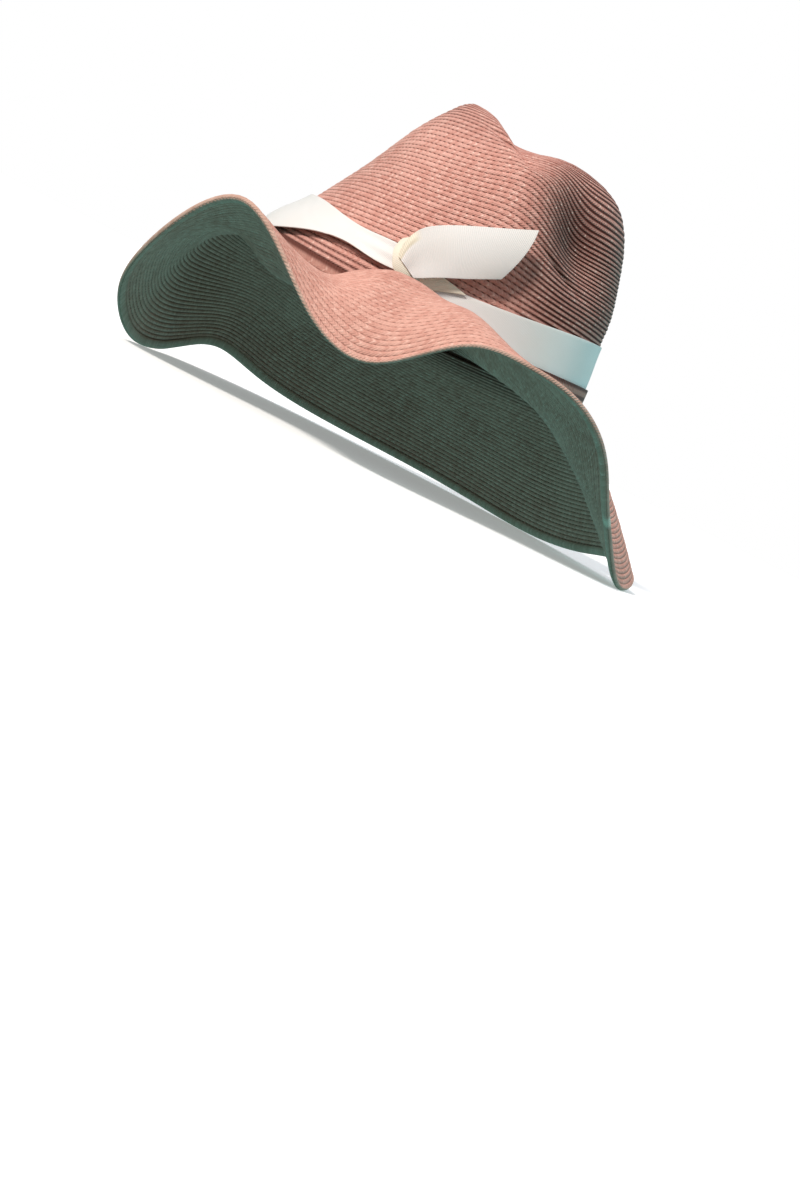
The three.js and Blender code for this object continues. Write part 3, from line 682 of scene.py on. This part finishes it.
def strawMaterial(name, **changes):
    look = {**plainStraw, **changes}
    groove = look["groove"]
    material, tree, shader = nodesOf(name)
    u, v = weavePlace(tree)
    fromMiddle = mathNode(tree, "SUBTRACT", mathNode(tree, "FRACT", v), 0.5)
    fromMiddle = times(tree, mathNode(tree, "ABSOLUTE", fromMiddle), 2.0)  # 0 on a ridge, 1 in a groove
    slant = mathNode(tree, "MULTIPLY_ADD", fromMiddle, 0.5, u)  # strands cross in a V along each row
    doubled = times(tree, slant, 2.0)
    strandHigh = mathNode(tree, "SINE", times(tree, mathNode(tree, "FRACT", doubled), math.pi))
    chance = tree.nodes.new("ShaderNodeTexWhiteNoise")
    chance.noise_dimensions = "2D"
    place = combine(tree, mathNode(tree, "FLOOR", doubled), mathNode(tree, "FLOOR", v))
    tree.links.new(place, chance.inputs["Vector"])
    lucky = chance.outputs["Value"]
    coords = tree.nodes.new("ShaderNodeTexCoord").outputs["Object"]
    wear = noise(tree, coords, look["wearScale"])
    fibrePlace = combine(tree, times(tree, slant, look["fibreAlong"]), times(tree, v, look["fibreAcross"]))
    fibre = noise(tree, fibrePlace, look["fibreScale"])
    colour = mixColour(tree, ramp(tree, lucky, 0.0, 1.0, 0.05, 0.75), look["strand"], look["pale"])
    colour = mixColour(tree, ramp(tree, fibre, 0.35, 0.7, 0.0, 0.3), colour, groove)
    colour = mixColour(tree, ramp(tree, wear, 0.42, 0.68, 0.0, look["wearMost"]), colour, look["pale"])
    if look["footRows"]:  # the rows by the seam are darkened, partly soiling and partly painted shade in the seam's crease, and the crown's back and peak get painted shade
        soilAndShade = ramp(tree, v, 0.0, look["footRows"], 1.0, 0.0)
        footDark = ramp(tree, v, 1.0, 3.5, look["footDark"], 0.0)
        if look["agedBack"]:
            k = agedCrown
            split = tree.nodes.new("ShaderNodeSeparateXYZ")
            tree.links.new(coords, split.inputs[0])
            lean = mathNode(tree, "MULTIPLY_ADD", split.outputs[2], k["lean"], split.outputs[1])
            back = ramp(tree, lean, k["backFrom"], k["backFull"])
            peak = ramp(tree, split.outputs[2], k["peakFrom"], k["peakFull"], 0.0, k["peakMost"])
            soilAndShade = mathNode(tree, "MAXIMUM", soilAndShade, mathNode(tree, "MAXIMUM", back, peak))
            # painted shadow: a soft dark spot in the hollow at the crown's back
            hollow = spot(tree, coords, k["hollowAt"], k["hollowInside"], k["hollowOutside"], k["hollowMost"])
            colour = mixColour(tree, hollow, colour, groove)
            # the seam's darkening is weaker towards the lit front
            lessAtFront = ramp(tree, lean, k["frontFrom"], k["frontFull"], k["frontLeast"], 1.0)
            footDark = times(tree, footDark, lessAtFront)
        colour = mixColour(tree, times(tree, soilAndShade, look["aged"]), colour, groove)
        colour = mixColour(tree, footDark, colour, groove)
        # painted shade in the grooves: where the rows are darkened, their grooves go almost to the groove
        # colour
        grooveShade = times(tree, soilAndShade, ramp(tree, fromMiddle, 0.22, 0.72))
        colour = mixColour(tree, times(tree, grooveShade, 0.97), colour, groove)
    onRidge = times(tree, ramp(tree, fromMiddle, 0.15, 0.55, 1.0, 0.0), ramp(tree, strandHigh, 0.55, 0.95))
    glint = times(tree, ramp(tree, lucky, look["luckyFrom"], 0.99), onRidge)
    colour = mixColour(tree, times(tree, glint, look["glints"]), colour, look["glintColour"])
    # the grooves between rows darken in staggered dashes: dark joints of the braid, partly painted shade in
    # the grooves
    brick = mathNode(tree, "FRACT", mathNode(tree, "MULTIPLY_ADD", mathNode(tree, "FLOOR", v), 0.5, u))
    stitchHigh = mathNode(tree, "SINE", times(tree, brick, math.pi))
    dash = ramp(tree, stitchHigh, 0.45, 0.95, look["grooveDark"], look["grooveDark"] * look["betweenDashes"])
    gap = times(tree, ramp(tree, fromMiddle, 1.0 - look["grooveWidth"], 0.97), dash)
    colour = mixColour(tree, gap, colour, groove)
    if look["frayedAt"]:
        near = spot(tree, coords, look["frayedAt"], 0.002, 0.006, 1.0)
        colour = mixColour(tree, times(tree, near, ramp(tree, fibre, 0.35, 0.5)), colour, look["frayedColour"])
    tree.links.new(colour, shader.inputs["Base Color"])
    roughness = mathNode(tree, "SUBTRACT", look["roughness"], times(tree, glint, look["glintPolish"]))
    tree.links.new(roughness, shader.inputs["Roughness"])
    shader.inputs["Specular IOR Level"].default_value = look["gloss"]
    height = mathNode(tree, "MULTIPLY_ADD", strandHigh, 0.6, times(tree, fibre, 0.35))
    bumped(tree, shader, height, look["bumpStrength"], look["bumpDepth"])
    return material


weaveOfRibbon = {
    "ribEvery": 0.9, "cloudScale": 45.0, "threadAlong": 0.6, "threadAcross": 60.0, "threadScale": 2.0,
    "rollAcross": (0.76, 0.84), "rollAlong": (9.0, 14.0), "rollMost": 0.9,
    "roughness": 0.55, "sheen": 0.25, "sheenRoughness": 0.4, "bumpStrength": 0.5, "bumpDepth": 0.00018,
}


def ribbonMaterial(name, cloth, shade, rib, rolled=None):
    k = weaveOfRibbon
    material, tree, shader = nodesOf(name)
    u, v = weavePlace(tree)
    ribHigh = mathNode(tree, "SINE", times(tree, u, 2 * math.pi / k["ribEvery"]))
    coords = tree.nodes.new("ShaderNodeTexCoord").outputs["Object"]
    cloud = noise(tree, coords, k["cloudScale"])
    threadPlace = combine(tree, times(tree, u, k["threadAlong"]), times(tree, v, k["threadAcross"]))
    thread = noise(tree, threadPlace, k["threadScale"])
    colour = mixColour(tree, ramp(tree, cloud, 0.35, 0.7, 0.0, 0.5), cloth, shade)
    fromMiddle = mathNode(tree, "ABSOLUTE", mathNode(tree, "SUBTRACT", v, 0.5))
    selvage = ramp(tree, fromMiddle, 0.45, 0.475, 0.0, 0.3)
    colour = mixColour(tree, selvage, colour, shade)
    colour = mixColour(tree, ramp(tree, ribHigh, -1.0, 0.6, 0.2, 0.0), colour, rib)
    if rolled:  # the tail's upper corner is rolled over at the knot, and the roll takes painted shade as yellow as the knot's folds
        upper = ramp(tree, v, *k["rollAcross"], 0.0, k["rollMost"])
        roll = times(tree, upper, ramp(tree, u, *k["rollAlong"], 1.0, 0.0))
        colour = mixColour(tree, roll, colour, rolled)
    tree.links.new(colour, shader.inputs["Base Color"])
    shader.inputs["Roughness"].default_value = k["roughness"]
    shader.inputs["Sheen Weight"].default_value = k["sheen"]
    shader.inputs["Sheen Roughness"].default_value = k["sheenRoughness"]
    height = mathNode(tree, "MULTIPLY_ADD", ribHigh, 0.5, times(tree, thread, 0.3))
    bumped(tree, shader, height, k["bumpStrength"], k["bumpDepth"])
    return material


strawCrown = strawMaterial(
    "strawCrown", strand=(0.64, 0.30, 0.242), pale=(0.82, 0.47, 0.395), groove=(0.075, 0.018, 0.012),
    grooveWidth=0.36, grooveDark=0.93, glints=0.6, footDark=0.7, aged=0.24, agedBack=True)
strawBraid = strawMaterial(
    "strawBraid", strand=(0.60, 0.29, 0.228), pale=(0.78, 0.455, 0.37), groove=(0.11, 0.035, 0.025),
    grooveDark=0.68, glints=0.35)
# painted shade: the straw towards the head and under the brim is a darker, greyer copy of the outer straw
strawUnderShaded = strawMaterial(
    "strawUnderShaded", strand=(0.155, 0.137, 0.107), pale=(0.36, 0.33, 0.26), groove=(0.03, 0.02, 0.015),
    grooveWidth=0.46, grooveDark=0.98, glints=0.3, gloss=0.08)
strawEdge = strawMaterial(
    "strawEdge", strand=(0.52, 0.31, 0.24), pale=(0.66, 0.43, 0.35), groove=(0.14, 0.07, 0.05),
    grooveWidth=0.2, glints=0.2, footRows=0.0, frayedAt=(0.0776, 0.127, 0.0322))
ivory = ((0.735, 0.725, 0.71), (0.715, 0.69, 0.655), (0.60, 0.56, 0.51))
grosgrain = ribbonMaterial("grosgrain", *ivory)
# painted shade on the tail's rolled corner at the knot
grosgrainTail = ribbonMaterial("grosgrainTail", *ivory, rolled=(0.72, 0.66, 0.51))
# painted shade: the knot's ribbon is a yellower copy of the ivory, for the shade in its folds
grosgrainFoldShade = ribbonMaterial("grosgrainFoldShade", (0.75, 0.70, 0.59), (0.71, 0.65, 0.50), (0.56, 0.50, 0.36))
# painted light: the end under the knot is a brighter, yellower copy of the ribbon, lightening it where the
# tail shades it
grosgrainEndLit = ribbonMaterial("grosgrainEndLit", (0.90, 0.83, 0.68), (0.87, 0.80, 0.62), (0.70, 0.62, 0.45))

for piece, nodes, slotName, finishes in (
        (crownPiece, ("crown",), "straw_braid", (strawCrown, strawUnderShaded)),
        (brimPiece, ("brim",), "straw_braid", (strawBraid, strawUnderShaded)),
        (edgePiece, ("brim_edge",), "straw_edge", (strawEdge,)),
        (bandPiece, ("ribbon_band",), "grosgrain", (grosgrain,)),
        (tailPiece, ("ribbon_tail",), "grosgrain", (grosgrainTail,)),
        (knotPiece, ("ribbon_knot",), "grosgrain", (grosgrainFoldShade,)),
        (shortPiece, (), "grosgrain", (grosgrainEndLit,))):
    piece.data.materials.clear()
    for finish in finishes:
        piece.data.materials.append(finish)
    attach(piece, "root")
    if nodes:
        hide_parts(*nodes)


def sheetSize(piece, wide, long, area, held, restsOn):
    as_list(restsOn)


bandArea = float(np.trapz(bandHeight, alongBand))
loopLength = alongLoop[-1]
sheetSize(bandPiece, ribbon["width"], alongBand[-1], bandArea, "stretched", ["crown"])
sheetSize(knotPiece, knot["flatWidth"], loopLength, knot["gathered"] * loopLength, "folded", ["ribbon_band"])
sheetSize(tailPiece, *tail["flatSize"], tail["shown"], "hung", [knotPiece.name])
sheetSize(shortPiece, *shortEnd["flatSize"], shortEnd["shown"], "folded", ["ribbon_band"])

print("floor, light and camera")
studio = {
    "floorSize": 80, "cameraAt": (1500, 61, -32), "lookAt": (0, 61, -146), "roll": 27, "lens": 79.6,
    "keyFrom": (0.69, -0.43, 0.58), "keyStrength": 3.6, "keySoft": 10, "keyColour": (1.0, 0.93, 0.87),
    "backFrom": (-0.4, 0.9, 0.1), "backStrength": 1.25, "backSoft": 40, "backColour": (0.35, 0.93, 1.0),
    "skyColour": (0.92, 0.91, 0.96), "skyStrength": 0.56,
    "lowColour": (0.32, 0.90, 0.88), "lowStrength": 0.66, "nearLowStrength": 0.2,
    "floorColour": 0.93, "floorGlow": 0.28, "behindColour": (1.0, 1.0, 1.0),
}
bpy.ops.object.select_all(action="DESELECT")
bpy.ops.mesh.primitive_plane_add(size=studio["floorSize"], location=(0, 0, -0.0001))
floor = bpy.context.active_object
floor.name = "floor"
floorMaterial, tree, shader = nodesOf("floorPaint")
shader.inputs["Base Color"].default_value = (*(studio["floorColour"],) * 3, 1)
shader.inputs["Roughness"].default_value = 0.9
shader.inputs["Emission Color"].default_value = (1, 1, 1, 1)
shader.inputs["Emission Strength"].default_value = studio["floorGlow"]
floor.data.materials.append(floorMaterial)
floor.visible_diffuse = False  # the soft light from below reaches the brim's underside
floor.visible_glossy = False


def sunFrom(name, direction, strength, soft, colour):
    light = bpy.data.lights.new(name, "SUN")
    light.energy = strength
    light.angle = math.radians(soft)
    light.color = colour
    lamp = bpy.data.objects.new(name, light)
    bpy.context.scene.collection.objects.link(lamp)
    lamp.rotation_euler = Vector(direction).to_track_quat("Z", "Y").to_euler()
    lamp.location = Vector(direction) * 2


sunFrom("keyLight", studio["keyFrom"], studio["keyStrength"], studio["keySoft"], studio["keyColour"])
sunFrom("backLight", studio["backFrom"], studio["backStrength"], studio["backSoft"], studio["backColour"])

world = bpy.data.worlds.new("studio")
bpy.context.scene.world = world
world.use_nodes = True
tree = world.node_tree
tree.nodes.clear()
seen = tree.nodes.new("ShaderNodeBackground")
seen.inputs[0].default_value = (*studio["behindColour"], 1)
direction = tree.nodes.new("ShaderNodeSeparateXYZ")
tree.links.new(tree.nodes.new("ShaderNodeTexCoord").outputs["Generated"], direction.inputs[0])
above = ramp(tree, direction.outputs[2], -0.15, 0.3)
fill = tree.nodes.new("ShaderNodeBackground")
tree.links.new(mixColour(tree, above, studio["lowColour"], studio["skyColour"]), fill.inputs[0])
nearSide = ramp(tree, direction.outputs[0], -0.1, 0.8, studio["lowStrength"], studio["nearLowStrength"])
strength = mathNode(tree, "MULTIPLY", nearSide, ramp(tree, direction.outputs[2], -0.15, 0.3, 1.0, 0.0))
tree.links.new(mathNode(tree, "MULTIPLY_ADD", above, studio["skyStrength"], strength), fill.inputs[1])
rays = tree.nodes.new("ShaderNodeLightPath")
both = tree.nodes.new("ShaderNodeMixShader")
output = tree.nodes.new("ShaderNodeOutputWorld")
tree.links.new(rays.outputs["Is Camera Ray"], both.inputs[0])
tree.links.new(fill.outputs[0], both.inputs[1])
tree.links.new(seen.outputs[0], both.inputs[2])
tree.links.new(both.outputs[0], output.inputs[0])

cameraData = bpy.data.cameras.new("camera")
cameraData.lens = studio["lens"]
cameraData.sensor_width = 36
camera = bpy.data.objects.new("camera", cameraData)
bpy.context.scene.collection.objects.link(camera)
bpy.context.scene.camera = camera
place = Vector(np.array(studio["cameraAt"]) + hatOrigin) / metre
target = Vector(np.array(studio["lookAt"]) + hatOrigin) / metre
forward = (target - place).normalized()
right = forward.cross(Vector((0, 0, 1))).normalized()
up = right.cross(forward)
roll = math.radians(studio["roll"])
turnedRight = right * math.cos(roll) + up * math.sin(roll)
turnedUp = up * math.cos(roll) - right * math.sin(roll)
axes = Matrix((turnedRight, turnedUp, -forward)).transposed()
camera.matrix_world = Matrix.Translation(place) @ axes.to_4x4()
bpy.context.scene.view_settings.view_transform = "Standard"
